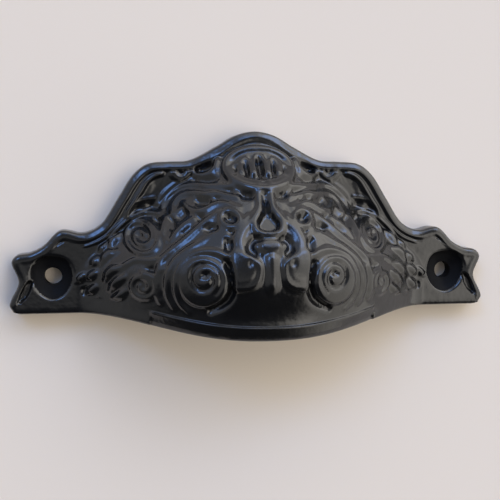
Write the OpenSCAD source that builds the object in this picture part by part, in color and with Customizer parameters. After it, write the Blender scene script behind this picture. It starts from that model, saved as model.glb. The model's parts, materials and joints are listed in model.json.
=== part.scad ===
// Cup pull for a drawer front, cast in one piece.
// A hollow cup opens downwards for the fingers and grows out of a flat flange that ends in
// two eared lobes, each with a countersunk screw hole. A raised border runs round the flange,
// and scrolls, leaves and a shell medallion are carved all over the front.
// The casting is lofted: each station is a closed loop that runs up the carved front, over
// the edge of the flange and back down through the smooth hollow behind it.
// Origin: midway between the screw holes, on the flat back. X runs through the holes,
// Y points to the crest, and Z comes out of the drawer front. Lengths are in millimetres.

/* [Screw holes] */
// Distance between the two screw holes
hole_spacing = 88; // [84:0.5:94]
// Diameter of a screw hole
hole_d = 3.8; // [3.4:0.1:4.6]
// Diameter of a countersink at the face of the flange
countersink_d = 9; // [8:0.1:9.6]

/* [Flange] */
// Thickness of the flange
flange_t = 5; // [4:0.1:6.5]
// Drop from the screw holes to the bottom edge
bottom_drop = 8; // [7.5:0.1:9]
// Height of the crest above the screw holes
crest_y = 31.3; // [30:0.1:34]
// Distance of the dip beside the crest from the middle
valley_x = 14.5; // [13:0.1:16]
// Height of that dip above the screw holes
valley_y = 25; // [24:0.1:26]
// Distance of the shoulder from the middle
shoulder_x = 23.5; // [22.5:0.1:25]
// Height of the shoulder above the screw holes
shoulder_y = 24.2; // [23:0.1:25.5]
// Distance from a screw hole in to the waist between ear and cup
waist_reach = 8; // [7:0.1:9]
// Height of the waist above the screw holes
waist_y = 9.7; // [9:0.1:11]
// Height of the upper tip of an ear
ear_top = 9.9; // [9:0.1:11]
// Reach of an ear beyond its screw hole
ear_reach = 9.2; // [8.5:0.1:11]
// Depth of the notch in the end of an ear
notch_depth = 2; // [1:0.1:2.5]

/* [Border] */
// Width of the raised border
border_w = 2.1; // [1.6:0.1:2.8]
// Height of the border above the flange
border_h = 0.4; // [0.2:0.1:1]
// Depth of the groove inside the border
groove_d = 0.2; // [0.1:0.1:0.8]
// Drop of the rounded outer edge below the flange's face
edge_drop = 1.3; // [0.6:0.1:1.6]

/* [Cup] */
// Width of the cup at its base
cup_w = 78.6; // [76:0.2:80]
// Gap between the base of the cup and the crest
crest_gap = 1.3; // [0.8:0.1:3]
// Rise of the cup above the flange
cup_rise = 21; // [17:0.5:25]
// Height of the cup's highest line above the screw holes
apex_y = 0; // [-2:0.1:3]
// Fall of the cup from that line to the lip
cup_roll = 1.8; // [0.5:0.1:3]
// Wall of the cup
wall = 2.8; // [2.4:0.1:3.4]
// Reach of the lip below the bottom edge of the flange
lip_reach = 3.85; // [2:0.05:5]
// Length of the thick strip along the lip
lip_len = 48; // [36:0.5:52]
// Width of the strip
lip_w = 3.2; // [2.4:0.1:4]
// Height of the strip above the cup
lip_proud = 0.5; // [0.2:0.1:0.9]

/* [Carving] */
// Height of the scrolls, strands and leaves
carving_h = 0.7; // [0.4:0.1:1.2]
// Depth of the pockets between them
pocket_d = 1; // [0.4:0.1:1.2]

/* [Hidden] */
$fn = 64;

// Half widths and heights that follow from the sizes above
hole_x = hole_spacing/2;
waist_x = hole_x - waist_reach;
cup_half = cup_w/2;
cup_h = crest_y + bottom_drop - crest_gap;
cup_up = crest_y - crest_gap - apex_y;

// Shape of the cup: how full its sides and its sections are, how much its corners draw in,
// and how wide the fillet is where it leaves the flange
cup_side = 2.3;
cup_power = 1.18;
cup_cross = 6.5;
base_fillet = 0.22;
// How fast the reach of the lip grows towards the middle
reach_power = 2.15;
lip_round = 0.5;

// Points of the round crest, as shares of the way out and down to the dip beside it
crest_round = [[0.29, 0.135], [0.6, 0.545]];
// Key points of the outline on the right, from the crest round to the foot of the ear
foot_x = hole_x + ear_reach - 2.6;
outline_keys = [
    [0, crest_y],
    for (c = crest_round) [c.x*valley_x, mix(crest_y, valley_y, c.y)],
    [valley_x, valley_y],
    [(valley_x + shoulder_x)/2, (valley_y + shoulder_y)/2 + 0.1],
    [shoulder_x, shoulder_y],
    [shoulder_x + 3, shoulder_y - 2.2],
    [(shoulder_x + waist_x + 0.5)/2, (shoulder_y + waist_y - 0.6)/2],
    [waist_x - 2.5, waist_y + 1.6],
    [waist_x, waist_y],
    [waist_x + 2, waist_y - 0.4],
    [hole_x - 1.7, ear_top],
    [hole_x + 2, ear_top - 3.35],
    [hole_x + ear_reach - 4.6, ear_top - 4.7],
    [hole_x + ear_reach - 1.6, ear_top - 5.3],
    [hole_x + ear_reach - 0.6, ear_top - 6.7],
    [hole_x + ear_reach - notch_depth, -1.1],
    [hole_x + ear_reach - 0.4, 3.2 - bottom_drop],
    [hole_x + ear_reach, 1.8 - bottom_drop],
    [hole_x + ear_reach - 0.7, 0.6 - bottom_drop]
];
// Stations between one key point and the next
key_steps = [4, 4, 6, 4, 4, 3, 4, 4, 3, 1, 3, 2, 2, 2, 1, 2, 2, 1, 1];
// Number of key points that have upright columns below them
upright_keys = 10;

// Rows of points up the front: across the lip, over the body and across the border
lip_shares = [0, 0.15, 0.5, 0.88, 1.05];
border_shares = [1.1, 0.8, 0.5, 0.18, 0];
body_rows = 33;
hollow_rows = 8;

// Heights across the border and the lip, against the share of their width
border_profile = [
    [0, -edge_drop], [0.18, 0], [0.5, border_h], [0.8, 0.3*border_h], [1.1, -groove_d], [1.8, 0]
];
lip_profile = [[0.88, lip_proud], [1.05, 0]];
edge_profile = [[0, -lip_round], [0.15, 0]];
carving_fade = 1.6;

// The carving is drawn for a cup of this half width, height and drop, and stretched to fit
drawn_half = 39.3;
drawn_h = 38;
drawn_drop = 8;

// Scrolls: centre, radius, pitch of the winding, hand of the winding, angle of its start
scrolls = [
    [[13.3, 0.2], 6.3, 2.8, 1, 40],
    [[25.1, 8.8], 3.8, 2.4, -1, 200],
    [[25.2, -0.9], 2.8, 2.2, 1, 90],
    [[16.6, 22.5], 2.2, 1.9, 1, 180]
];
// Strands: half width and the points that they pass through
strands = [
    [1, [[0.5, 19.2], [0.9, 15.6], [2.8, 13.2], [5.2, 11.2], [6.5, 8.6], [6.3, 6.2]]],
    [1.3, [[8.8, 12.4], [12.6, 8.6], [16.4, 4.6]]],
    [1.3, [[11.2, 14], [15, 10.2], [19.4, 5.2]]],
    [1.2, [[20.2, 12.4], [20.6, 9.8], [19.2, 8.2], [17.2, 9.3]]],
    [1.2, [[5.6, 19.4], [9, 19], [14, 20.4], [18, 19.4], [21, 16.8], [22.4, 13.6], [27.5, 12.7], [31, 9.6]]],
    [1.2, [[33, 6.6], [34.2, 3], [34.4, -2], [33.6, -6]]]
];
// Leaves and pockets: centre, angle, half length and half width
leaves = [
    [[5, 1.8], 80, 3.8, 3],
    [[0.6, 7.4], 0, 1.8, 1.3],
    [[7.4, 16.4], 25, 2.8, 1.6],
    [[11.8, 16.8], -5, 2.8, 1.5],
    [[16.6, 15.6], -35, 2.9, 1.6],
    [[23.9, 17.6], -65, 2.6, 1.2],
    [[30.6, 5.4], 35, 2.8, 1.4],
    [[31, 1], 5, 2.8, 1.4],
    [[30, -3.6], -22, 2.8, 1.4]
];
pockets = [
    [[3.9, 18], 10, 2.1, 1.3],
    [[2.9, 16.2], 78, 2.3, 1.1],
    [[0, 12.2], 90, 2.3, 2],
    [[3.7, 8.2], -50, 2.4, 1.2],
    [[0, 5.9], 0, 1.9, 1],
    [[8.9, 5], 85, 3.4, 1.3],
    [[18.4, 10.4], -20, 1.6, 1.4],
    [[11.3, 24.1], -22, 2.5, 1.3],
    [[13.2, 22], 30, 2, 1.3],
    [[23.2, 18.8], -62, 4, 2.3],
    [[24.6, 14.9], -18, 3.2, 1.4],
    [[22.4, 4], 20, 2.2, 1.4]
];
// Pockets of an ear, from its screw hole
ear_pockets = [
    [[5.8, -3.2], -62, 2.6, 1],
    [[-7, -3.2], -60, 1.6, 1.2],
    [[0.6, 6.3], -38, 2.2, 0.9]
];
// Sunk field round a countersink: its reach beyond it, its depth and the width of its slope
field_gap = 0.7;
field_depth = 0.8;
field_edge = 1.2;
// Medallion: centre, half width and half height of its ring, and the ribs of its shell
medal_at = [0, 24.25];
medal_half = [7.1, 3.75];
ring_w = 1.2;
// Low boss that carries the medallion
boss_h = 0.8;
boss_half = [8.9, 5];
// Where the boss ends and how wide its slope is, as shares of its half sizes
boss_reach = 1.46;
boss_fade = 0.77;
shell_foot = [0, 20.4];
shell_ribs = 5;
shell_reach = 0.85;
shell_edge = 0.33;

// Curve helpers
function smooth(t) = let (c = min(1, max(0, t))) c*c*(3 - 2*c);
function mix(a, b, t) = a + (b - a)*t;
function knot(a, b) = sqrt(norm(b - a));
function pull(a, b, t, ta, tb) = ((tb - t)*a + (t - ta)*b)/(tb - ta);
// Point a share f of the way from b to c on a smooth curve through a, b, c and d
function curve_at(a, b, c, d, f) =
    let (
        t1 = knot(a, b),
        t2 = t1 + knot(b, c),
        t3 = t2 + knot(c, d),
        t = mix(t1, t2, f),
        p = pull(a, b, t, 0, t1),
        q = pull(b, c, t, t1, t2),
        r = pull(c, d, t, t2, t3)
    )
    pull(pull(p, q, t, 0, t2), pull(q, r, t, t1, t3), t, t1, t2);

// Outline of the flange on the right, one point for each station
last_key = len(outline_keys) - 1;
function mirrored(p) = [-p.x, p.y];
function outline_key(i) =
    i < 0 ? mirrored(outline_keys[-i])
    : i > last_key ? 2*outline_keys[last_key] - outline_keys[last_key - 1]
    : outline_keys[i];
tops = concat(
    [
        for (i = [0:last_key - 1])
        for (k = [0:key_steps[i] - 1])
        curve_at(outline_key(i - 1), outline_key(i), outline_key(i + 1), outline_key(i + 2), k/key_steps[i])
    ],
    [outline_keys[last_key]]
);
last_station = len(tops) - 1;

// Foot of each station on the bottom edge: upright under the cup, fanned out under the ear
function total(list, n) = n == 0 ? 0 : list[n - 1] + total(list, n - 1);
upright_stations = total(key_steps, upright_keys - 1);
function foot_at(i) =
    i <= upright_stations ? tops[i].x
    : mix(waist_x, foot_x, (i - upright_stations)/(last_station - upright_stations));

// Outer form of the cup above the flange, and the hollow behind it
function cup_share(p, inset) =
    let (
        u = pow(abs(p.x)/(cup_half - inset), cup_side),
        v = pow(max(0, p.y - apex_y)/(cup_up - inset), 2)
    )
    max(0, 1 - u - v - cup_cross*u*v);
function rise_at(y) = cup_rise - cup_roll*smooth((apex_y - y)/(apex_y + bottom_drop));
function cup_z(p) =
    let (r = pow(cup_share(p, 0), cup_power))
    rise_at(p.y)*(1 + base_fillet)*r*r/(r + base_fillet);
function hollow_z(p) = (flange_t + rise_at(p.y) - wall)*pow(cup_share(p, wall), cup_power);
// Upper end of the hollow in an upright column
function hollow_top(x) =
    let (u = pow(min(1, x/(cup_half - wall)), cup_side))
    apex_y + (cup_up - wall)*sqrt((1 - u)/(1 + cup_cross*u));

// Carving motifs, each from 0 to 1
function ridge(d, w) = d < w ? pow(cos(90*d/w), 2) : 0;
function segment_gap(p, a, b) =
    let (t = min(1, max(0, (p - a)*(b - a)/((b - a)*(b - a)))))
    norm(p - mix(a, b, t));
function strand(q, s) =
    max([for (i = [0:len(s[1]) - 2]) ridge(segment_gap(q, s[1][i], s[1][i + 1]), s[0])]);
function leaf(q, l) =
    let (
        d = q - l[0],
        along = (d.x*cos(l[1]) + d.y*sin(l[1]))/l[2],
        across = (d.y*cos(l[1]) - d.x*sin(l[1]))/l[3]
    )
    min(1, 2*max(0, 1 - along*along - across*across));
// A scroll fades out at its edge, and its eye and the floor between its turns stay raised
scroll_edge = 0.5;
eye_share = 0.4;
scroll_floor = 0.35;
function scroll(q, s) =
    let (
        d = q - s[0],
        r = norm(d),
        turn = r/s[2] - s[3]*(atan2(d.y, d.x) - s[4])/360
    )
    r > s[1] + scroll_edge ? 0
    : smooth(s[1] + scroll_edge - r)
    *(r < eye_share*s[2] ? 1 : mix(scroll_floor, 1, pow(cos(180*turn), 2)));
function medallion(q) =
    let (
        d = q - medal_at,
        n = norm([d.x/medal_half.x, d.y/medal_half.y]),
        f = q - shell_foot
    )
    max(
        ridge(abs(n - 1)*medal_half.y, ring_w),
        smooth((shell_reach - n)/shell_edge)*pow(cos(shell_ribs*(atan2(f.y, f.x) - 90)), 2)
    );

// Carving of the cup at a point of the plan
function carving_z(p) =
    let (
        q = [abs(p.x)*drawn_half/cup_half, (p.y + bottom_drop)*drawn_h/cup_h - drawn_drop],
        raised = max(
            medallion(q),
            max([for (s = scrolls) scroll(q, s)]),
            max([for (s = strands) strand(q, s)]),
            max([for (l = leaves) leaf(q, l)])
        ),
        sunk = max([for (l = pockets) leaf(q, l)])
    )
    carving_h*raised - pocket_d*sunk*(1 - raised);
// Carving of an ear
function ear_z(p) =
    let (e = [abs(p.x) - hole_x, p.y])
    -field_depth*smooth((countersink_d/2 + field_gap - norm(e))/field_edge)
    - pocket_d*max([for (l = ear_pockets) leaf(e, l)]);

// Height of the front at a point, from its distances to the bottom edge and the outline
strip_fade = 0.8;
function strip_at(x) = smooth((lip_len/2 - abs(x))/strip_fade);
function boss_at(p) =
    let (d = p - medal_at)
    boss_h*smooth((boss_reach - norm([d.x/boss_half.x, d.y/boss_half.y]))/boss_fade);
function front_z(p, from_edge, from_outline) =
    flange_t + cup_z(p) + boss_at(p)
    + lookup(from_edge/lip_w, edge_profile)
    + strip_at(p.x)*lookup(from_edge/lip_w, lip_profile)
    + lookup(from_outline/border_w, border_profile)
    + smooth((from_edge - lip_w)/carving_fade)*smooth((from_outline - border_w)/carving_fade)
    *(carving_z(p) + ear_z(p));

// The mouth reaches forward above the face of the flange, most in the middle
function leaning(x, y, z) =
    let (share = max(0, z - flange_t)/(cup_rise - cup_roll))
    [x, y - lip_reach*pow(share, reach_power), z];
function lip_point(x) =
    leaning(x, -bottom_drop, flange_t + cup_z([x, -bottom_drop]) - lip_round + lip_proud*strip_at(x));

// Share of a column's length that lies square to the outline at its top
least_slant = 0.4;
function slant(i) =
    let (
        t = tops[min(i + 1, last_station)] - tops[max(i - 1, 0)],
        c = tops[i] - [foot_at(i), -bottom_drop]
    )
    max(least_slant, abs(c.x*t.y - c.y*t.x)/(norm(c)*norm(t)));

// Front points of a station, from the lip to the outline
last_lip = lip_shares[len(lip_shares) - 1];
// Most of a short column that its lip rows, or its border rows, may take up
end_share = 0.35;
function front(i) =
    let (
        lip = lip_point(foot_at(i)),
        a = [lip.x, lip.y],
        span = tops[i] - a,
        length = norm(span),
        square = slant(i),
        lip_k = min(1, end_share*length/(last_lip*lip_w)),
        border_k = min(1, end_share*length*square/(border_shares[0]*border_w)),
        low = last_lip*lip_w*lip_k,
        high = length - border_shares[0]*border_w*border_k/square,
        ways = concat(
            [for (s = lip_shares) s*lip_w*lip_k],
            [for (k = [1:body_rows - 1]) mix(low, high, k/body_rows)],
            [for (s = border_shares) length - s*border_w*border_k/square]
        )
    )
    [
        for (w = ways)
        let (p = a + span*w/length)
        w == 0 ? lip
        : [p.x, p.y, front_z(p, w/lip_k, (length - w)*square/border_k)]
    ];

// Back points of a station, from the outline to the mouth
flat_min = 2.5;
flat_share = 0.6;
function back(i) =
    let (
        x = foot_at(i),
        foot = [x, -bottom_drop],
        upright = i <= upright_stations,
        edge = upright
            ? [x, max(hollow_top(x), flat_min - bottom_drop)]
            : mix(foot, tops[i], flat_share)
    )
    concat(
        [[tops[i].x, tops[i].y, 0]],
        [
            for (k = [0:hollow_rows])
            let (p = mix(edge, foot, 1 - cos(90*k/hollow_rows)), z = upright ? hollow_z(p) : 0)
            k < hollow_rows ? [p.x, p.y, z] : leaning(p.x, p.y, z)
        ]
    );

// The loops of all stations, left to right, and the skin that joins them
function loop(i) = concat(front(i), back(i));
right_loops = [for (i = [0:last_station]) loop(i)];
loops = concat(
    [for (i = [last_station:-1:1]) [for (p = right_loops[i]) [-p.x, p.y, p.z]]],
    right_loops
);
loop_n = len(loops[0]);
loop_count = len(loops);
front_n = len(front(0));
back_n = len(back(0));
function facing(k) = loop_n - 1 - k;

module casting() {
    skin = [
        for (i = [0:loop_count - 2])
        for (j = [0:loop_n - 1])
        let (
            a = i*loop_n + j,
            b = i*loop_n + (j + 1) % loop_n,
            leans = i < loop_count/2
        )
        each leans
            ? [[a, b, b + loop_n], [a, b + loop_n, a + loop_n]]
            : [[a, b, a + loop_n], [b, b + loop_n, a + loop_n]]
    ];
    // Each end is closed by a strip of triangles between its front and its back points
    cap = concat(
        [for (j = [0:front_n - 2]) [j, j + 1, facing(floor(j*back_n/(front_n - 1)))]],
        [for (k = [0:back_n - 2]) [facing(k), ceil((k + 1)*(front_n - 1)/back_n), facing(k + 1)]]
    );
    right_start = (loop_count - 1)*loop_n;
    left_cap = [for (t = cap) [t[2], t[1], t[0]]];
    right_cap = [for (t = cap) [for (j = t) right_start + j]];
    faces = concat(skin, left_cap, right_cap);
    polyhedron(points = [for (l = loops) each l], faces = faces);
}

// A screw hole with its countersink, which widens as much as it rises
module screw_hole() {
    sink = (countersink_d - hole_d)/2;
    over = 2;
    translate([0, 0, -over])
        cylinder(d = hole_d, h = flange_t + 2*over);
    translate([0, 0, flange_t - sink])
        cylinder(d1 = hole_d, d2 = countersink_d + 2*over, h = sink + over);
}

module cup_pull() {
    color([0.05, 0.05, 0.055])
    difference() {
        casting();
        for (side = [-1, 1])
            translate([side*hole_x, 0, 0])
                screw_hole();
    }
}

cup_pull();
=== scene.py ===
import json
import math

import bpy
import bmesh
import numpy as np
from mathutils import Matrix, Vector


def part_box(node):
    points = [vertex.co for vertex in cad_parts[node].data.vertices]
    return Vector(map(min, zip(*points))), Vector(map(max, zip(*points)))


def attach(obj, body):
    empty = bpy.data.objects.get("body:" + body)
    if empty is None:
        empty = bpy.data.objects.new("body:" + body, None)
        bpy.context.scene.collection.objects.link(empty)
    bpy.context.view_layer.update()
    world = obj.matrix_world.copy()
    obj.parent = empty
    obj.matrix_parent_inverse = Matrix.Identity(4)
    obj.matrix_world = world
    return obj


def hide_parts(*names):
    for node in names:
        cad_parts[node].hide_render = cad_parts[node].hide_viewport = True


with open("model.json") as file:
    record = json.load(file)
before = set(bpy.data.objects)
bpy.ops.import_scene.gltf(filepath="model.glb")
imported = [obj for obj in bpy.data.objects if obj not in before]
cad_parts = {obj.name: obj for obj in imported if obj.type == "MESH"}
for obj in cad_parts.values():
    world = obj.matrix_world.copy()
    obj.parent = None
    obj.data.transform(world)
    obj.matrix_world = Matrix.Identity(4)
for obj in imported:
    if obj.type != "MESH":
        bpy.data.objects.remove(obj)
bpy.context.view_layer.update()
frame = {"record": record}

# An ornate cup pull, cast in one piece and enamelled black, that lies on its back.
# Lengths are in millimetres in the part's own frame, and turn into metres where a mesh is made.
MM = 0.001
NODE = "cup_pull"

# Sizes that come from the frame
low, high = (np.array(corner)/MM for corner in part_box(NODE))
mounts = {mount["name"]: mount for mount in frame["record"]["mounts"]}
HOLE_X = mounts["screw_holes"]["dims"]["spacing_x_mm"]/2
HOLE_R = mounts["screw_holes"]["dims"]["hole_r_mm"]
END_X = high[0]
CREST_Y = high[1]

# Flange and border: the border has a rise for each share of its width, going in from the outline
FLANGE_T = 5.0
BOTTOM_DROP = 8.0
BORDER_W = 2.1
LOW_BORDER_W = 2.8
BORDER_SHARES = (0, 0.03, 0.08, 0.16, 0.26, 0.38, 0.5, 0.62, 0.75, 0.88, 1.0, 1.12, 1.25, 1.4)
BORDER_RISES = (-1.2, -0.8, -0.5, -0.25, -0.12, 0.01, 0.14, 0.24, 0.27, 0.14, -0.04, -0.1, -0.05, 0)
EAR_RISES = (-1.2, -0.8, -0.5, -0.25, -0.1, 0, 0.07, 0.1, 0.1, 0.06, 0.02, 0, 0, 0)
LOW_RISES = (-1.0, -0.6, -0.3, -0.12, -0.05, -0.02, 0, 0, 0, 0, 0, 0, 0, 0)
EAR_FROM = HOLE_X - 8.0
EAR_TO = HOLE_X - 4.0
CORNER_BLEND = 0.4

# Cup and its lip: the lip has a rise for each way in from the bottom edge
LIP_HALF = 24.0
LIP_END = 0.5
LIP_W = 3.2
LIP_WAYS = (0, 0.1, 0.3, 0.6, 1.0, 2.7, 3.0, 3.3, 3.8)
LIP_RISES = (-1.5, -1.3, -1.05, -0.8, -0.5, 0.4, 0.42, -0.02, 0)
LIP_REACH = -low[1] - BOTTOM_DROP
LEAN_POWER = 2.15
CUP_RISE = 21.0
CUP_HALF = 39.3
CUP_TOP = CREST_Y - 1.3
APEX_Y = 0.0
CUP_ROLL = 1.8
CUP_SIDE = 2.3
CUP_POWER = 1.18
CUP_CROSS = 6.5
CUP_FILLET = 0.22
WALL = 2.8

# Boss that carries the medallion: level in its middle, and falling away towards its oval edge
MEDALLION_Y = 23.1
BOSS_Y = MEDALLION_Y + 0.6
BOSS_HALF = (8.9, 5.3)
BOSS_RISE = 0.8
BOSS_FULL = 1.9
BOSS_FALL = 1.3
BOSS_CLEAR = 0.6

# Key points of the outline on the right, from the crest round to the foot of the ear
WAIST = (HOLE_X - 8.0, 9.7)
FOOT_X = END_X - 2.6
OUTLINE_KEYS = (
    (0, CREST_Y), (4.2, CREST_Y - 0.85), (8.7, CREST_Y - 3.43), (14.5, 25.0), (19.0, 24.7), (23.5, 24.2),
    (26.5, 22.0), (30.0, 16.65), (33.5, 11.3), WAIST, (HOLE_X - 6.0, 9.3), (HOLE_X - 1.7, 9.9),
    (HOLE_X + 2.0, 6.55), (END_X - 4.6, 5.2), (END_X - 1.6, 4.6), (END_X - 0.6, 3.2), (END_X - 2.0, -1.1),
    (END_X - 0.4, -4.8), (END_X, -6.2), (END_X - 0.7, -7.4),
)
WAIST_KEY = 9

# Shield-shaped countersink about a screw hole: its outline, and its depth by the way in from it.
# Dull enamel with a dimmed reflection, which is painted shade in the holes, starts PAINTED_SHADE_IN inside
# the outline, and leaves out the back, which is below BACK_Z.
SHIELD = (
    (0.3, 4.6), (2.7, 4.1), (4.4, 2.1), (4.4, -0.7), (3.1, -3.3),
    (0.6, -4.9), (-1.9, -4.3), (-3.8, -2.1), (-4.3, 0.8), (-3.0, 3.7),
)
FUNNEL_WAYS = (-0.25, 0, 0.25, 1.0, 2.4, 3.4)
FUNNEL_DEPTHS = (0, 0.15, 0.5, 1.1, 1.7, 2.0)
FUNNEL_REACH = 1.0
PAINTED_SHADE_IN = 0.2
BACK_Z = 0.01

# Slot in the ear beside the countersink, placed from the screw hole
EAR_SLOT = ((4.8, -1.3), (5.8, -3.2), (6.9, -5.1))
EAR_SLOT_HALF = 0.75
EAR_SLOT_DEPTH = 1.0
EAR_SLOT_EDGE = 0.6
EAR_SLOT_ENDS = (0.7, 0.5)

# Grid of the skin: columns from the middle to the waist and round the ear, rows up the front and back
UPRIGHT_COLUMNS = 132
EAR_COLUMNS = 80
FRONT_ROWS = 184
LIP_SHARE = 0.26
HOLLOW_ROWS = 22
HOLLOW_MIN = 2.5
EAR_BACK_SHARE = 0.6
OUTLINE_STEPS = 12
SHARP_ANGLE = 48.0
TINY = 1e-12

# Spread of the front's rows: closer within DENSE_WAY of an edge, and closest within EDGE_WAY of it
FINE_STEPS = 300
DENSE_WAY = 4.4
DENSE_FADE = 0.8
EDGE_DENSITY = 4.0
EDGE_WAY = 0.4

# Carving: its scale, and how it fades out at the lip, the bottom edge and the border
CARVING_SCALE = 1.05
SOFT_PASSES = 1
TAPER_SHARE = 0.35
CARVING_CLEAR = 0.2
LIP_FADE = 1.2
LOW_FADE = 1.0
BORDER_FADE = 0.8
BORDER_LAP = 0.5

# Enamel: noise scales are in features to the metre
NOISE_SPAN = (0.3, 0.7)
TONE_SCALE = 140
TONE_DETAIL = 3
TONE_DARK = (0.0035, 0.0035, 0.004, 1)
TONE_LIGHT = (0.006, 0.006, 0.006, 1)
GLOSS_SCALE = 260
GLOSS_DETAIL = 4
GLOSS_ROUGH = (0.13, 0.21)
ENAMEL_IOR = 1.5
RIPPLE_SCALE = 520
RIPPLE_DETAIL = 2
RIPPLE_STRENGTH = 0.6
RIPPLE_DEPTH = 0.12
# Painted shade in the screw holes: a near-black tone, rough gloss and a dimmed reflection that darken them
# as shade would
PAINTED_SHADE_TONE = (0.004, 0.004, 0.0045, 1)
DULL_ROUGH = (0.45, 0.6)
PAINTED_SHADE_SHINE = 0.06

# Floor, a hair below the part so that the two faces don't meet
FLOOR_HALF = 3000.0
FLOOR_BELOW = 0.02
FLOOR_TONE = (0.68, 0.60, 0.51, 1)
FLOOR_ROUGH = 0.6
FLOOR_SHINE = 0.2

# Light: the tone of the surroundings, then soft round patches laid over it in turn. Each patch says how
# it is laid, the way towards it, its full and its outer radius in degrees, and its colour.
SURROUND = (0.56, 0.555, 0.55, 1)
PATCHES = (
    # Dark side towards the lip
    ("MIX", (0.0, -0.98, 0.2), 50, 79, (0.06, 0.06, 0.06)),
    # Broad warm light on the right, and past the crest on the right
    ("ADD", (1.0, 0.15, 0.1), 50, 80, (1.5, 1.41, 1.27)),
    ("ADD", (0.5, 0.85, 0.12), 24, 54, (1.5, 1.46, 1.4)),
    # Dim cool light past the crest on the left
    ("ADD", (-0.5, 0.8, 0.25), 20, 48, (0.3, 0.42, 0.7)),
    # Dark overhead, with two small warm lights
    ("MIX", (0.02, 0.42, 0.9), 10, 28, (0.25, 0.25, 0.25)),
    ("ADD", (0.44, -0.1, 0.9), 6, 18, (1.2, 1.12, 1.0)),
    ("MIX", (-0.3, -0.45, 0.84), 12, 27, (0.08, 0.08, 0.09)),
    ("MIX", (0.06, -0.66, 0.75), 20, 29, (0.02, 0.02, 0.02)),
    ("ADD", (0.5, -0.4, 0.77), 5, 14, (0.9, 0.85, 0.78)),
    # Three cool panes, which give the blue glints
    ("ADD", (-0.42, 0.6, 0.68), 5, 13, (1.8, 4.0, 9.5)),
    ("ADD", (0.02, 0.74, 0.67), 4, 10, (1.0, 2.2, 5.2)),
    ("ADD", (0.42, 0.72, 0.55), 6, 14, (1.0, 2.2, 5.2)),
)

# Camera: the point it looks at, the way back to it, its distance and its lens
CAMERA_TARGET = (-0.77, 5.0, 2.0)
CAMERA_BACK = (-0.156, 0.087, 0.984)
CAMERA_FAR = 200*MM
SENSOR_W = 36.0
LENS = 64.2
CLIP_START = 10*MM


def smooth(t):
    """A soft step from 0 to 1."""
    t = np.clip(t, 0.0, 1.0)
    return t*t*(3.0 - 2.0*t)


def mix(a, b, t):
    return a + (b - a)*t


def curve(points, closed=False, steps=8):
    """Dense points of a smooth curve through the given points."""
    p = np.array(points, float)
    if len(p) == 2 and not closed:
        return np.linspace(p[0], p[1], steps + 1)
    if closed:
        p = np.concatenate([p[-1:], p, p[:2]])
    else:
        p = np.concatenate([[2*p[0] - p[1]], p, [2*p[-1] - p[-2]]])
    out = []
    for a, b, c, d in zip(p[:-3], p[1:-2], p[2:-1], p[3:]):
        t1 = math.sqrt(np.linalg.norm(b - a))
        t2 = t1 + math.sqrt(np.linalg.norm(c - b))
        t3 = t2 + math.sqrt(np.linalg.norm(d - c))
        t = np.linspace(t1, t2, steps, endpoint=False)[:, None]
        ab = ((t1 - t)*a + t*b)/t1
        bc = ((t2 - t)*b + (t - t1)*c)/(t2 - t1)
        cd = ((t3 - t)*c + (t - t2)*d)/(t3 - t2)
        abc = ((t2 - t)*ab + t*bc)/t2
        bcd = ((t3 - t)*bc + (t - t1)*cd)/(t3 - t1)
        out.append(((t2 - t)*abc + (t - t1)*bcd)/(t2 - t1))
    return np.concatenate(out + [p[-2:-1]])


def nearest(q, line):
    """Distance of each point of q from a polyline, and the share of the way along it."""
    a, b = line[:-1], line[1:]
    run = np.linalg.norm(b - a, axis=1)
    start = np.concatenate([[0.0], np.cumsum(run)])
    best = np.full(len(q), np.inf)
    share = np.zeros(len(q))
    for i in range(len(a)):
        step = b[i] - a[i]
        t = np.clip((q - a[i])@step/max(run[i]**2, TINY), 0.0, 1.0)
        gap = np.hypot(q[:, 0] - a[i, 0] - t*step[0], q[:, 1] - a[i, 1] - t*step[1])
        closer = gap < best
        best[closer] = gap[closer]
        share[closer] = (start[i] + t[closer]*run[i])/start[-1]
    return best, share


def inside(q, line):
    """True for the points of q that lie inside a closed polyline."""
    x, y = q[:, 0], q[:, 1]
    odd = np.zeros(len(q), bool)
    for (x0, y0), (x1, y1) in zip(line, np.roll(line, -1, axis=0)):
        if y0 == y1:
            continue
        odd ^= ((y0 > y) != (y1 > y)) & (x < x0 + (x1 - x0)*(y - y0)/(y1 - y0))
    return odd


def taper(share, ends):
    """Width along a strand, as a share of its full width, from the shares at its two ends."""
    first, last = ends
    start = first + (1.0 - first)*smooth(share/TAPER_SHARE)
    finish = last + (1.0 - last)*smooth((1.0 - share)/TAPER_SHARE)
    return np.minimum(start, finish)


def oval(centre, half_x, half_y, count=16):
    """Points round an ellipse."""
    turn = np.linspace(0.0, 2*math.pi, count, endpoint=False)
    return np.stack([centre[0] + half_x*np.cos(turn), centre[1] + half_y*np.sin(turn)], 1)


def spiral(centre, radii, start, hand, count=40):
    """Points of a spiral whose radius runs evenly through radii, a quarter turn apart."""
    quarter = np.linspace(0.0, len(radii) - 1.0, count)
    radius = np.interp(quarter, np.arange(len(radii)), radii)
    angle = np.radians(start) + hand*quarter*math.pi/2
    return np.stack([centre[0] + radius*np.cos(angle), centre[1] + radius*np.sin(angle)], 1)


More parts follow.
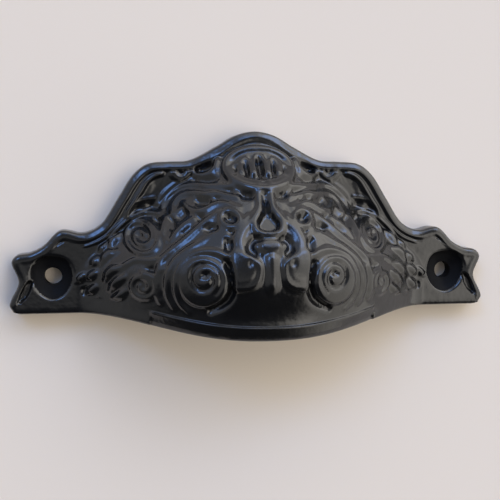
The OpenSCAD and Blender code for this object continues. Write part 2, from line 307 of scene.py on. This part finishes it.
class Carving:
    """Height of the carving at a set of plan points: pockets sink the ground, the rest rises.

    Each motif takes the points of its line or outline, its half width if it is a line, and its height
    or depth. Next come the softness of its edge and its widths at the two ends, where it has them.
    BARE stands where nothing is raised. A bead's sides end at BEAD_REACH half widths, and a band, which
    can widen towards an end, is looked for within BAND_REACH half widths and its edge.
    """

    BARE = -9.0
    BEAD_REACH = 2.2
    BAND_REACH = 1.3

    def __init__(self, plan):
        self.plan = plan
        self.ground = np.zeros(len(plan))
        self.raised = np.full(len(plan), self.BARE)
        self.cut = np.zeros(len(plan))

    def near(self, line, reach):
        """Indices of the points that lie within reach of a line's box."""
        below, above = line.min(0) - reach, line.max(0) + reach
        return np.nonzero(((self.plan > below) & (self.plan < above)).all(1))[0]

    def raise_to(self, at, level):
        self.raised[at] = np.maximum(self.raised[at], level)

    def sink_to(self, at, level):
        self.ground[at] = np.minimum(self.ground[at], level)

    def way_in(self, at, line):
        """How far the points lie inside a closed line, below 0 outside it."""
        gap, _ = nearest(self.plan[at], line)
        return np.where(inside(self.plan[at], line), gap, -gap)

    def bead(self, points, half, height, ends=(1.0, 1.0), closed=False):
        """A rounded strand, which can taper towards its two ends."""
        line = curve(points, closed)
        reach = self.BEAD_REACH*half
        at = self.near(line, reach)
        gap, share = nearest(self.plan[at], line)
        level = height*taper(share, ends) - abs(height)*(gap/half)**2
        self.raise_to(at, np.where(gap < reach, level, self.BARE))

    def band(self, points, half, height, edge=0.45, ends=(1.0, 1.0)):
        """A flat strand with soft edges."""
        line = curve(points)
        at = self.near(line, self.BAND_REACH*half + edge)
        gap, share = nearest(self.plan[at], line)
        wide = taper(share, ends)*half
        level = height*smooth((wide + edge/2 - gap)/edge)
        self.raise_to(at, np.where(gap < wide + edge/2, level, self.BARE))

    def pocket(self, points, half, depth, edge=0.5, ends=(1.0, 1.0)):
        """A sunk stretch with a flat floor."""
        line = curve(points)
        at = self.near(line, half + edge)
        gap, share = nearest(self.plan[at], line)
        wide = taper(share, ends)*half
        self.sink_to(at, -depth*smooth((wide + edge/2 - gap)/edge))

    def patch(self, points, height, edge=0.6):
        """A raised field inside a closed outline."""
        line = curve(points, closed=True)
        at = self.near(line, edge)
        depth = self.way_in(at, line)
        level = height*smooth((depth + edge/2)/edge)
        self.raise_to(at, np.where(depth > -edge/2, level, self.BARE))

    def dish(self, points, depth, edge=0.6):
        """A sunk field inside a closed outline."""
        line = curve(points, closed=True)
        at = self.near(line, edge)
        self.sink_to(at, -depth*smooth((self.way_in(at, line) + edge/2)/edge))

    def groove(self, points, half, depth, ends=(1.0, 1.0)):
        """A line cut into whatever is there."""
        line = curve(points)
        at = self.near(line, half)
        gap, share = nearest(self.plan[at], line)
        level = depth*taper(share, ends)*smooth(1.0 - gap/half)
        self.cut[at] = np.maximum(self.cut[at], level)

    def height(self):
        return np.maximum(self.ground, self.raised) - self.cut


def carve_medallion(c):
    centre = (0, MEDALLION_Y)
    c.dish(oval(centre, 8.9, 5.6), 0.55, 0.8)
    c.bead(oval(centre, 7.1, 4.2), 1.0, 0.8, closed=True)
    c.dish(oval(centre, 6.2, 3.3), 0.4, 0.6)
    c.bead([(0, 26.0), (1.8, 25.9), (3.6, 25.2), (4.9, 24.1)], 0.5, 0.4)
    # Scallops of the shell
    c.bead([(-1.25, 22.2), (-1.25, 24.5), (-0.7, 25.6), (0, 25.9), (0.7, 25.6), (1.25, 24.5), (1.25, 22.2)],
           0.5, 0.5)
    c.bead([(1.9, 22.1), (2.0, 24.1), (2.7, 25.1), (3.5, 24.8), (3.9, 23.7), (3.8, 22.2)], 0.5, 0.45)
    c.bead([(4.5, 22.2), (4.6, 23.5), (5.3, 24.0), (5.9, 23.2), (5.8, 22.2)], 0.45, 0.4)
    c.pocket([(0, 22.4), (0, 24.8)], 0.65, 1.0, 0.6)
    c.pocket([(2.85, 22.3), (2.9, 24.1)], 0.55, 1.0, 0.6)
    c.pocket([(5.15, 22.2), (5.2, 23.1)], 0.4, 0.9, 0.5)
    c.bead([(0, 20.4), (1.8, 20.5), (3.6, 20.9), (5.0, 21.5)], 0.5, 0.4)


def carve_shoulder(c):
    # Teardrop beside the crest: a dark pocket in a raised rim
    c.pocket([(9.9, 24.0), (11.3, 23.2), (12.9, 22.9)], 0.65, 1.2, 0.6, (0.7, 0.7))
    c.bead([(8.6, 25.0), (9.2, 23.2), (10.9, 21.9), (12.9, 21.7), (13.9, 22.6)], 0.65, 0.55)
    c.pocket([(9.0, 21.2), (11.4, 20.6), (13.6, 20.8)], 0.45, 0.8, 0.6, (0.6, 0.6))
    # Small volute on the shoulder
    c.bead(spiral((16.6, 22.6), (1.9, 1.8, 1.7, 1.6, 1.4, 1.1, 0.8, 0.5), 250, 1), 0.55, 0.5)
    c.bead([(13.8, 23.2), (15.1, 21.5), (16.6, 20.4), (18.5, 19.2), (20.2, 17.6), (21.4, 15.5)], 0.6, 0.5)
    c.dish([(19.6, 22.4), (20.0, 20.2), (21.5, 18.3), (23.0, 17.0), (25.6, 16.4), (24.6, 18.4),
            (23.2, 20.4), (21.6, 21.7)], 0.2, 0.9)
    c.bead([(22.9, 19.6), (23.7, 17.6), (24.5, 15.6)], 0.75, -0.1, (0.8, 0.6))
    c.bead([(20.6, 22.2), (22.2, 21.6), (23.6, 20.5), (25.1, 18.2), (26.5, 16.0), (27.8, 14.0),
            (28.1, 12.6)], 0.6, 0.45)
    c.dish([(22.2, 15.3), (24.2, 15.9), (26.4, 15.3), (27.1, 14.0), (26.4, 13.4), (24.0, 14.3)], 0.45, 0.7)
    c.bead([(21.9, 16.9), (23.6, 16.7), (25.6, 16.2), (27.1, 14.9)], 0.45, 0.3)


def carve_centre(c):
    # Deep teardrops beside the stem
    c.dish([(1.9, 18.9), (3.0, 19.2), (4.7, 18.3), (5.2, 17.6), (3.9, 17.2), (2.5, 17.3)], 1.1, 1.2)
    c.pocket([(5.0, 17.7), (6.4, 18.0)], 0.25, 0.6)
    c.groove([(2.1, 16.6), (2.4, 15.2), (3.4, 13.7), (4.4, 12.4)], 0.5, 0.4, (0.6, 0.5))
    # Vase between the two ribbons
    c.dish([(-1.1, 14.0), (1.1, 14.0), (2.4, 12.4), (2.4, 11.2), (1.5, 10.6), (-1.5, 10.6), (-2.4, 11.2),
            (-2.4, 12.4)], 1.2, 0.8)
    c.pocket([(0, 16.6), (0, 14.2)], 0.45, 1.0, 0.5, (0.4, 1.0))
    c.band([(1.2, 20.2), (1.3, 18.4), (1.4, 16.6), (1.5, 15.2), (2.1, 13.9), (2.9, 12.6), (2.9, 11.5),
            (2.2, 10.3), (0.0, 9.9)], 0.6, 0.5)
    c.band([(1.8, 15.3), (2.8, 13.8), (4.4, 12.2), (5.8, 10.5), (6.5, 8.6), (6.2, 6.4)], 0.95, 0.5,
           ends=(0.4, 1.2))
    # Knob above the tongue, in its dark crescent
    c.band([(0, 7.7), (1.1, 7.6)], 1.15, 0.55, 0.7)
    c.pocket([(0, 5.8), (0.7, 6.0)], 0.7, 0.9)
    c.pocket([(0.9, 9.4), (2.8, 9.3), (4.0, 8.4), (4.2, 7.2), (3.4, 6.3)], 0.6, 1.0, 0.6)
    c.bead([(0, 5.2), (0, 2.0), (0, -2.6)], 1.6, 0.65, (1.0, 0.0))
    carve_comma_leaf(c)


def carve_comma_leaf(c):
    c.patch([(4.9, 6.2), (3.0, 5.2), (2.0, 4.2), (1.95, 2.4), (2.4, 0.6), (3.6, -0.6), (5.3, -1.1),
             (7.2, -1.1), (7.4, 0.8), (7.7, 3.0), (8.0, 4.6), (7.6, 7.0)], 0.7, 0.7)
    c.groove([(3.2, 4.0), (3.2, 2.2), (4.1, 0.7), (5.8, 0.0), (7.4, 0.2)], 0.6, 0.2, (0.5, 0.5))
    c.groove([(4.2, 4.2), (4.4, 4.1)], 0.6, 0.5)
    c.pocket([(8.5, 8.4), (8.4, 6.0), (8.6, 4.0), (8.3, 1.2)], 0.75, 0.9, 0.6)


def carve_volute(c):
    # Domed disc with a spiral cut into it, in a dark trough
    c.pocket([(8.3, 5.2), (8.1, 2.5), (8.2, -0.2), (8.9, -2.5), (10.4, -4.4), (12.2, -5.4)], 1.1, 1.1, 1.2,
             (0.6, 0.3))
    c.patch(oval((13.6, 0.4), 4.6, 4.9), 0.65, 1.1)
    c.groove(spiral((13.2, 1.2), (3.4, 3.1, 2.8, 2.4, 1.9, 1.3, 0.7), 235, -1), 0.55, 0.75, (0.5, 1.0))
    c.groove([(12.5, 2.2), (13.0, 1.9)], 0.8, 0.9)
    c.bead([(8.6, 5.6), (11.0, 6.5), (14.0, 6.3), (16.8, 4.8), (18.5, 2.0), (18.8, -1.2), (17.9, -4.0),
            (16.2, -5.8)], 0.75, 0.65, (1.0, 0.5))
    c.bead([(11.0, 10.0), (12.4, 9.2), (13.9, 8.1), (16.5, 6.4), (19.0, 4.1), (20.4, 1.0), (20.4, -2.4),
            (19.2, -5.0)], 0.85, 0.65, (0.2, 0.5))


def carve_acanthus(c):
    strands = (
        [(5.4, 19.6), (8.2, 19.5), (11.0, 19.4), (13.4, 19.6), (15.6, 19.4), (17.8, 18.4), (19.6, 16.8),
         (20.6, 14.8), (20.6, 13.4)],
        [(5.6, 17.2), (7.6, 17.5), (9.6, 17.9), (11.6, 17.7), (13.6, 17.9), (15.6, 17.8), (17.3, 16.9),
         (18.4, 15.3), (18.7, 13.8)],
        [(5.4, 15.0), (7.2, 15.6), (9.0, 15.9), (10.6, 15.4), (12.2, 14.5), (14.2, 14.3), (15.6, 15.0),
         (16.3, 15.9)],
        [(9.2, 14.4), (11.2, 13.2), (13.0, 11.8), (14.8, 10.2), (17.0, 8.3), (19.4, 6.4), (21.4, 4.4),
         (22.3, 1.2), (22.0, -2.0)],
        [(14.6, 12.9), (16.4, 11.5), (18.0, 10.0), (19.4, 8.3)],
        [(20.1, 12.9), (20.6, 11.0), (20.8, 9.4), (20.4, 8.2)],
    )
    for points in strands:
        c.bead(points, 0.7, 0.6, (0.6, 0.6))
    c.bead(oval((7.5, 13.0), 1.9, 1.6), 0.6, 0.55, closed=True)
    pockets = (
        (0.55, [(7.0, 18.5), (9.0, 18.7)]),
        (0.5, [(11.4, 18.6), (13.6, 18.8)]),
        (0.6, [(11.6, 16.4), (13.4, 16.2)]),
        (0.55, [(8.0, 16.7), (9.6, 16.8)]),
        (0.5, [(16.2, 18.5), (17.6, 17.6)]),
        (0.75, [(7.2, 12.7), (7.9, 13.3)]),
        (0.6, [(10.8, 11.4), (12.2, 11.0)]),
        (0.6, [(16.2, 14.1), (17.4, 13.0)]),
        (0.55, [(18.9, 12.4), (19.0, 11.0)]),
        (0.45, [(21.9, 12.2), (21.6, 11.0), (21.7, 9.4)]),
        (0.5, [(15.4, 10.9), (16.6, 9.9)]),
        (0.5, [(12.8, 12.9), (13.8, 12.9)]),
        (0.5, [(6.0, 11.0), (7.6, 10.6)]),
    )
    for half, points in pockets:
        c.pocket(points, half, 0.9)


def carve_scrolls(c):
    c.bead(spiral((25.1, 8.8), (3.4, 3.4, 3.4, 3.3, 3.0, 2.4, 1.9, 1.5, 1.1, 0.8), 60, 1), 0.65, 0.6)
    c.bead([(21.2, 13.6), (24.0, 13.7), (27.2, 12.6), (30.0, 10.4), (31.6, 8.4)], 0.55, 0.5)
    c.bead(spiral((25.2, -0.9), (2.6, 2.6, 2.5, 2.2, 1.8, 1.4, 1.0, 0.6), 90, 1), 0.6, 0.5)


def carve_side(c):
    leaves = (
        [(29.4, 9.0), (31.0, 7.6), (32.0, 5.8)],
        [(30.4, 5.6), (32.4, 4.8), (33.6, 3.0)],
        [(29.6, 2.6), (31.6, 1.6), (32.9, -0.4)],
        [(29.0, 0.6), (30.6, -0.6), (31.8, -2.4)],
        [(28.6, -2.2), (30.2, -3.6), (31.6, -4.8)],
    )
    for points in leaves:
        c.bead(points, 1.0, 0.8, (0.5, 0.4))
    lobes = ((31.2, 8.0), (33.2, 6.2), (34.9, 3.4), (35.7, 0.4), (35.6, -2.6), (34.8, -5.2), (38.0, -0.2))
    for x, y in lobes:
        c.bead([(x - 0.6, y + 0.6), (x, y), (x + 0.9, y - 0.9)], 1.0, 0.75, (0.7, 0.3))
    c.bead([(20.8, 5.0), (23.6, 4.3), (26.6, 4.2), (28.8, 3.0)], 0.6, 0.45)
    c.bead([(20.9, 3.0), (22.6, 1.4), (22.7, -1.4), (21.8, -4.0)], 0.6, 0.45)
    c.pocket([(22.4, 2.9), (24.2, 2.4)], 0.5, 0.7)
    # Thin ridge that follows the border towards the waist
    c.bead([(28.2, 12.8), (31.0, 10.2), (33.5, 8.0), (36.8, 6.6)], 0.55, 0.35, (0.5, 0.5))


def carve_ear(c):
    c.pocket([(HOLE_X - 2.0, 7.6), (HOLE_X - 0.2, 7.0), (HOLE_X + 1.4, 5.7)], 0.6, 0.6, 0.7, (0.4, 0.4))
    c.pocket([(HOLE_X - 7.0, -3.0), (HOLE_X - 7.0, -3.4)], 0.8, 0.6, 0.8)


def carving(plan):
    c = Carving(plan)
    carve_medallion(c)
    carve_shoulder(c)
    carve_centre(c)
    carve_volute(c)
    carve_acanthus(c)
    carve_scrolls(c)
    carve_side(c)
    carve_ear(c)
    return c.height()


def shield_line():
    """Outline of the countersink on the right."""
    return curve([(HOLE_X + x, y) for x, y in SHIELD], closed=True)


def funnel(plan):
    """Depth below the flange of the shield-shaped countersink and of the slot beside it."""
    c = Carving(plan)
    line = shield_line()
    at = c.near(line, FUNNEL_REACH)
    slot = [(HOLE_X + x, y) for x, y in EAR_SLOT]
    c.pocket(slot, EAR_SLOT_HALF, EAR_SLOT_DEPTH, EAR_SLOT_EDGE, EAR_SLOT_ENDS)
    c.sink_to(at, -np.interp(c.way_in(at, line), FUNNEL_WAYS, FUNNEL_DEPTHS))
    return -c.ground


def cup_share(x, y, inset):
    """1 at the highest line of the cup, falling to 0 at its base, which can be set in."""
    u = np.abs(x/(CUP_HALF - inset))**CUP_SIDE
    v = (np.maximum(0.0, y - APEX_Y)/(CUP_TOP - APEX_Y - inset))**2
    return np.maximum(0.0, 1.0 - u - v - CUP_CROSS*u*v)


def cup_rise(y):
    """Rise of the cup's highest line, which rolls over towards the lip."""
    return CUP_RISE - CUP_ROLL*smooth((APEX_Y - y)/(APEX_Y + BOTTOM_DROP))


def cup_z(x, y):
    """Rise of the cup above the flange."""
    r = cup_share(x, y, 0.0)**CUP_POWER
    return cup_rise(y)*(1.0 + CUP_FILLET)*r*r/(r + CUP_FILLET)


def hollow_z(x, y):
    """Roof of the hollow behind the cup."""
    return (FLANGE_T + cup_rise(y) - WALL)*cup_share(x, y, WALL)**CUP_POWER


def lean(z):
    """How far the mouth reaches forward at a height above the back."""
    return LIP_REACH*(np.maximum(0.0, z - FLANGE_T)/(CUP_RISE - CUP_ROLL))**LEAN_POWER


def lip_y(x):
    """Place of the bottom edge, which reaches forward with the height of the cup."""
    return -BOTTOM_DROP - lean(FLANGE_T + cup_z(x, -BOTTOM_DROP))


def border_rise(x, across, below):
    """Rise of the border: its own profile on the body, plainer round the ears and along the bottom."""
    closest = np.minimum(across, below)
    profiles = (BORDER_RISES, EAR_RISES, LOW_RISES)
    body, ear, bottom = (np.interp(closest, BORDER_SHARES, rises) for rises in profiles)
    upper = mix(body, ear, smooth((np.abs(x) - EAR_FROM)/(EAR_TO - EAR_FROM)))
    return mix(bottom, upper, smooth(0.5 + (below - across)/CORNER_BLEND))


def boss_rise(x, y, across):
    """Rise of the boss under the medallion, which stops short of the border."""
    way = np.hypot(x/BOSS_HALF[0], (y - BOSS_Y)/BOSS_HALF[1])
    return BOSS_RISE*smooth(BOSS_FULL - BOSS_FALL*way)*smooth(across - BOSS_CLEAR)


def front_z(x, y, gap, edge):
    """Height of the plain front, from the distances to the outline and to the bottom edge."""
    across = gap/BORDER_W
    below = edge/LOW_BORDER_W
    strip = smooth((LIP_HALF - np.abs(x))/LIP_END)
    lip = np.interp(across, BORDER_SHARES, BORDER_RISES) + np.interp(edge, LIP_WAYS, LIP_RISES)
    rim = mix(border_rise(x, across, below), lip, strip)
    return FLANGE_T + cup_z(x, y) + boss_rise(x, y, across) + rim


def outline():
    """The whole outline of the flange, and the start of the right ear on it."""
    right = np.array(OUTLINE_KEYS, float)
    line = curve(np.concatenate([right[:0:-1]*(-1, 1), right]), steps=OUTLINE_STEPS)
    return line, (len(right) - 1 + WAIST_KEY)*OUTLINE_STEPS


def columns():
    """Feet and tops of the columns on the right half."""
    line, waist = outline()
    middle = len(line)//2
    body, ear = line[middle:waist + 1], line[waist:]
    x = np.linspace(0.0, WAIST[0], UPRIGHT_COLUMNS)
    tops = np.stack([x, np.interp(x, body[:, 0], body[:, 1])], 1)
    way = np.concatenate([[0.0], np.cumsum(np.linalg.norm(np.diff(ear, axis=0), axis=1))])
    steps = np.linspace(0.0, way[-1], EAR_COLUMNS + 1)[1:]
    round_ear = np.stack([np.interp(steps, way, ear[:, k]) for k in (0, 1)], 1)
    feet = np.concatenate([x, np.linspace(WAIST[0], FOOT_X, EAR_COLUMNS + 1)[1:]])
    feet = np.stack([feet, lip_y(feet)], 1)
    return feet, np.concatenate([tops, round_ear]), line


def distances(plan, line):
    """Distances of a grid of plan points to the outline and to the bottom edge."""
    gap, _ = nearest(plan.reshape(-1, 2), line)
    return gap.reshape(plan.shape[:2]), plan[..., 1] - lip_y(plan[..., 0])


def density(gap, edge):
    """How closely the rows lie: closest at the outline and at the bottom edge."""
    near = smooth((DENSE_WAY - gap)/DENSE_FADE) + smooth((DENSE_WAY - edge)/DENSE_FADE)
    return 1.0 + near + EDGE_DENSITY*(np.exp(-gap/EDGE_WAY) + np.exp(-edge/EDGE_WAY))


def row_ways(edge, run, ways):
    """Places of the rows up one column: a set share of them on the lip, the rest above it."""
    share = np.linspace(0.0, 1.0, FRONT_ROWS)
    on_lip = np.minimum(share/LIP_SHARE, 1.0)
    above = np.maximum((share - LIP_SHARE)/(1.0 - LIP_SHARE), 0.0)
    root = min(np.interp(LIP_WAYS[-1], edge, run), run[-1]/2)
    return np.interp(root*on_lip + (run[-1] - root)*above, run, ways)


def front_plan():
    """Plan points of the front, by columns, spread along the surface and closest near its edges."""
    feet, tops, line = columns()
    ways = np.linspace(0.0, 1.0, FINE_STEPS)
    fine = feet[:, None] + (tops - feet)[:, None]*ways[None, :, None]
    gap, edge = distances(fine, line)
    z = front_z(fine[..., 0], fine[..., 1], gap, edge)
    step = np.linalg.norm(np.diff(np.concatenate([fine, z[..., None]], -1), axis=1), axis=-1)
    dense = density(gap, edge)
    run = np.cumsum(np.pad(step*(dense[:, 1:] + dense[:, :-1])/2, ((0, 0), (1, 0))), axis=1)
    rows = np.stack([row_ways(e, r, ways) for e, r in zip(edge, run)])
    return feet[:, None] + (tops - feet)[:, None]*rows[..., None], line


def normals(grid):
    """Unit normals of a grid of points."""
    across = np.gradient(grid, axis=0)
    up = np.gradient(grid, axis=1)
    n = np.cross(across, up)
    return n/np.maximum(np.linalg.norm(n, axis=-1, keepdims=True), TINY)


def soften(field):
    """One pass of a small blur over the columns and rows."""
    for axis in (0, 1):
        pad = [(1, 1) if k == axis else (0, 0) for k in (0, 1)]
        f = np.pad(field, pad, mode="edge")
        a, b, c = (np.take(f, range(k, k + field.shape[axis]), axis) for k in (0, 1, 2))
        field = (a + 2*b + c)/4
    return field


def whole(right):
    """Adds the mirrored left half to the columns of the right half."""
    left = right[:0:-1].copy()
    left[..., 0] *= -1
    return np.concatenate([left, right])


def carving_fade(gap, edge):
    """1 where the carving is whole, falling to 0 at the lip, the bottom edge and the border."""
    lip = smooth((edge - LIP_W - CARVING_CLEAR)/LIP_FADE)
    bottom = smooth((edge - LOW_BORDER_W - CARVING_CLEAR)/LOW_FADE)
    border = smooth((gap - BORDER_W + BORDER_LAP)/BORDER_FADE)
    return lip*bottom*border


def front_grid():
    """Points of the carved front, from the left end to the right, each column from the lip up."""
    plan, line = front_plan()
    gap, edge = distances(plan, line)
    z = front_z(plan[..., 0], plan[..., 1], gap, edge)
    height = carving(plan.reshape(-1, 2)).reshape(z.shape)*carving_fade(gap, edge)*CARVING_SCALE
    height -= funnel(plan.reshape(-1, 2)).reshape(z.shape)
    grid = whole(np.concatenate([plan, z[..., None]], -1))
    height = np.concatenate([height[:0:-1], height])
    for _ in range(SOFT_PASSES):
        height = soften(height)
    return grid + normals(grid)*height[..., None]


def back_grid():
    """Points of the back, each column from the outline down to the mouth."""
    feet, tops, _ = columns()
    x = feet[:, 0]
    u = np.minimum(1.0, x/(CUP_HALF - WALL))**CUP_SIDE
    top_y = APEX_Y + (CUP_TOP - APEX_Y - WALL)*np.sqrt((1.0 - u)/(1.0 + CUP_CROSS*u))
    top_y = np.where(u < 1.0, top_y, -BOTTOM_DROP)
    foot = np.stack([x, np.full_like(x, -BOTTOM_DROP)], 1)
    edge = np.stack([x, np.maximum(top_y, HOLLOW_MIN - BOTTOM_DROP)], 1)
    edge[UPRIGHT_COLUMNS:] = mix(foot, tops, EAR_BACK_SHARE)[UPRIGHT_COLUMNS:]
    share = 1.0 - np.cos(np.linspace(0.0, math.pi/2, HOLLOW_ROWS))
    plan = edge[:, None] + (foot - edge)[:, None]*share[None, :, None]
    z = hollow_z(plan[..., 0], plan[..., 1])
    z[UPRIGHT_COLUMNS:] = 0.0
    plan[:, -1, 1] -= lean(z[:, -1])
    rows = np.concatenate([plan, z[..., None]], -1)
    rim = np.concatenate([tops, np.zeros((len(tops), 1))], 1)[:, None]
    return whole(np.concatenate([rim, rows], 1))


def skin_mesh():
    """The closed skin of the casting as a mesh."""
    loops = np.concatenate([front_grid(), back_grid()], 1)
    count, ring = loops.shape[:2]
    i, j = np.meshgrid(np.arange(count - 1), np.arange(ring), indexing="ij")
    k = (j + 1) % ring
    quads = np.stack([i*ring + j, (i + 1)*ring + j, (i + 1)*ring + k, i*ring + k], -1).reshape(-1, 4)
    faces = quads.tolist() + [list(range(ring)), list(range(count*ring - 1, (count - 1)*ring - 1, -1))]
    mesh = bpy.data.meshes.new(NODE)
    mesh.from_pydata((loops.reshape(-1, 3)*MM).tolist(), [], faces)
    mesh.validate()
    return mesh


def hole_cutter(x):
    """A screw hole, as a solid that is cut away."""
    sides = 96
    over = 3.0
    mesh = bpy.data.meshes.new("hole_cutter")
    shape = bmesh.new()
    bmesh.ops.create_cone(shape, cap_ends=True, segments=sides, radius1=HOLE_R*MM, radius2=HOLE_R*MM,
                          depth=(FLANGE_T + 2*over)*MM, matrix=Matrix.Translation((x*MM, 0, FLANGE_T/2*MM)))
    shape.to_mesh(mesh)
    shape.free()
    return add_object("hole_cutter", mesh)


def add_object(name, mesh):
    item = bpy.data.objects.new(name, mesh)
    bpy.context.scene.collection.objects.link(item)
    return item


def cut(item, cutter):
    """Cuts one closed shape out of another, for good."""
    change = item.modifiers.new("cut", "BOOLEAN")
    change.object = cutter
    change.solver = "MANIFOLD"
    bpy.context.view_layer.update()
    done = item.evaluated_get(bpy.context.evaluated_depsgraph_get())
    mesh = bpy.data.meshes.new_from_object(done)
    item.modifiers.clear()
    item.data = mesh
    bpy.data.objects.remove(cutter)


def make_pull():
    """The whole pull, with its holes cut, its materials and its place in the frame."""
    item = add_object("enamelled_pull", skin_mesh())
    for side in (-1, 1):
        cut(item, hole_cutter(side*HOLE_X))
    item.data.polygons.foreach_set("use_smooth", [True]*len(item.data.polygons))
    item.data.set_sharp_from_angle(angle=math.radians(SHARP_ANGLE))
    item.data.materials.clear()
    item.data.materials.append(enamel())
    item.data.materials.append(dull_painted_shade_enamel())
    # The faces in the countersinks and screw holes get the painted shade
    item.data.polygons.foreach_set("material_index", in_holes(item.data))
    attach(item, "root")
    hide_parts(NODE)


def new_material(name):
    """A new material, with its nodes, its links and its shader."""
    material = bpy.data.materials.new(name)
    material.use_nodes = True
    nodes = material.node_tree.nodes
    return material, nodes, material.node_tree.links, nodes["Principled BSDF"]


def noise(nodes, links, scale, detail):
    """Noise that is fixed to the part, with its scale in features to the metre."""
    place = nodes.new("ShaderNodeTexCoord")
    texture = nodes.new("ShaderNodeTexNoise")
    texture.inputs["Scale"].default_value = scale
    texture.inputs["Detail"].default_value = detail
    links.new(place.outputs["Object"], texture.inputs["Vector"])
    return texture.outputs["Fac"]


def remap(nodes, links, value, source, target):
    """A value taken from one range to another."""
    step = nodes.new("ShaderNodeMapRange")
    step.inputs["From Min"].default_value, step.inputs["From Max"].default_value = source
    step.inputs["To Min"].default_value, step.inputs["To Max"].default_value = target
    links.new(value, step.inputs["Value"])
    return step.outputs["Result"]


def enamel():
    """Thick gloss black enamel: a little uneven in tone and gloss, with a fine ripple."""
    material, nodes, links, shader = new_material("black_enamel")
    tone = nodes.new("ShaderNodeMix")
    tone.data_type = "RGBA"
    tone.inputs["A"].default_value = TONE_DARK
    tone.inputs["B"].default_value = TONE_LIGHT
    links.new(noise(nodes, links, TONE_SCALE, TONE_DETAIL), tone.inputs["Factor"])
    links.new(tone.outputs["Result"], shader.inputs["Base Color"])
    gloss = noise(nodes, links, GLOSS_SCALE, GLOSS_DETAIL)
    links.new(remap(nodes, links, gloss, NOISE_SPAN, GLOSS_ROUGH), shader.inputs["Roughness"])
    shader.inputs["IOR"].default_value = ENAMEL_IOR
    ripple = nodes.new("ShaderNodeBump")
    ripple.inputs["Strength"].default_value = RIPPLE_STRENGTH
    ripple.inputs["Distance"].default_value = RIPPLE_DEPTH*MM
    links.new(noise(nodes, links, RIPPLE_SCALE, RIPPLE_DETAIL), ripple.inputs["Height"])
    links.new(ripple.outputs["Normal"], shader.inputs["Normal"])
    return material


def dull_painted_shade_enamel():
    """Dull, rough enamel inside the screw holes, whose reflection is turned down as painted shade, to
    darken them as shade would.
    """
    material, nodes, links, shader = new_material("dull_painted_shade_enamel")
    gloss = noise(nodes, links, GLOSS_SCALE, GLOSS_DETAIL)
    links.new(remap(nodes, links, gloss, NOISE_SPAN, DULL_ROUGH), shader.inputs["Roughness"])
    shader.inputs["Base Color"].default_value = PAINTED_SHADE_TONE
    shader.inputs["Specular IOR Level"].default_value = PAINTED_SHADE_SHINE
    return material


def in_holes(mesh):
    """1 for each face inside a countersink or its screw hole, and 0 for the rest."""
    centres = np.empty(3*len(mesh.polygons))
    mesh.polygons.foreach_get("center", centres)
    x, y, z = centres.reshape(-1, 3).T/MM
    c = Carving(np.stack([np.abs(x), y], 1))
    line = shield_line()
    at = c.near(line, 0.0)
    marks = np.zeros(len(x), int)
    marks[at] = (c.way_in(at, line) > PAINTED_SHADE_IN) & (z[at] > BACK_Z)
    return marks


def make_floor():
    """A plain pale floor."""
    half = FLOOR_HALF*MM
    level = -FLOOR_BELOW*MM
    mesh = bpy.data.meshes.new("floor")
    corners = [(-half, -half, level), (half, -half, level), (half, half, level), (-half, half, level)]
    mesh.from_pydata(corners, [], [(0, 1, 2, 3)])
    floor = add_object("floor", mesh)
    material, _, _, shader = new_material("pale_floor")
    shader.inputs["Base Color"].default_value = FLOOR_TONE
    shader.inputs["Roughness"].default_value = FLOOR_ROUGH
    shader.inputs["Specular IOR Level"].default_value = FLOOR_SHINE
    mesh.materials.append(material)


def lobe(nodes, links, way, inner, outer):
    """A round soft patch about a direction: 1 within inner degrees of it, 0 beyond outer."""
    place = nodes.new("ShaderNodeTexCoord")
    dot = nodes.new("ShaderNodeVectorMath")
    dot.operation = "DOT_PRODUCT"
    dot.inputs[1].default_value = Vector(way).normalized()
    links.new(place.outputs["Generated"], dot.inputs[0])
    step = nodes.new("ShaderNodeMapRange")
    step.interpolation_type = "SMOOTHSTEP"
    step.inputs["From Min"].default_value = math.cos(math.radians(outer))
    step.inputs["From Max"].default_value = math.cos(math.radians(inner))
    links.new(dot.outputs["Value"], step.inputs["Value"])
    return step.outputs["Result"]


def blended(nodes, links, kind, factor, under, colour):
    """A colour laid over another, where factor says."""
    step = nodes.new("ShaderNodeMix")
    step.data_type = "RGBA"
    step.blend_type = kind
    links.new(factor, step.inputs["Factor"])
    links.new(under, step.inputs["A"])
    step.inputs["B"].default_value = (*colour, 1)
    return step.outputs["Result"]


def make_light():
    """Soft light from all round, in patches of light and dark that show in the gloss."""
    world = bpy.data.worlds.new("studio")
    bpy.context.scene.world = world
    world.use_nodes = True
    nodes, links = world.node_tree.nodes, world.node_tree.links
    surround = nodes.new("ShaderNodeRGB")
    surround.outputs["Color"].default_value = SURROUND
    light = surround.outputs["Color"]
    for kind, way, inner, outer, colour in PATCHES:
        light = blended(nodes, links, kind, lobe(nodes, links, way, inner, outer), light, colour)
    links.new(light, nodes["Background"].inputs["Color"])


def make_camera():
    """The camera, above the front of the part, with the crest towards the top of the picture."""
    target = Vector(CAMERA_TARGET)*MM
    back = Vector(CAMERA_BACK).normalized()
    data = bpy.data.cameras.new("camera")
    data.sensor_fit = "HORIZONTAL"
    data.sensor_width = SENSOR_W
    data.lens = LENS
    data.clip_start = CLIP_START
    camera = bpy.data.objects.new("camera", data)
    camera.location = target + back*CAMERA_FAR
    right = Vector((0, 1, 0)).cross(back).normalized()
    camera.rotation_euler = Matrix((right, back.cross(right), back)).transposed().to_euler()
    bpy.context.scene.collection.objects.link(camera)
    bpy.context.scene.camera = camera


make_pull()
make_floor()
make_light()
make_camera()
bpy.context.scene.view_settings.view_transform = "Standard"
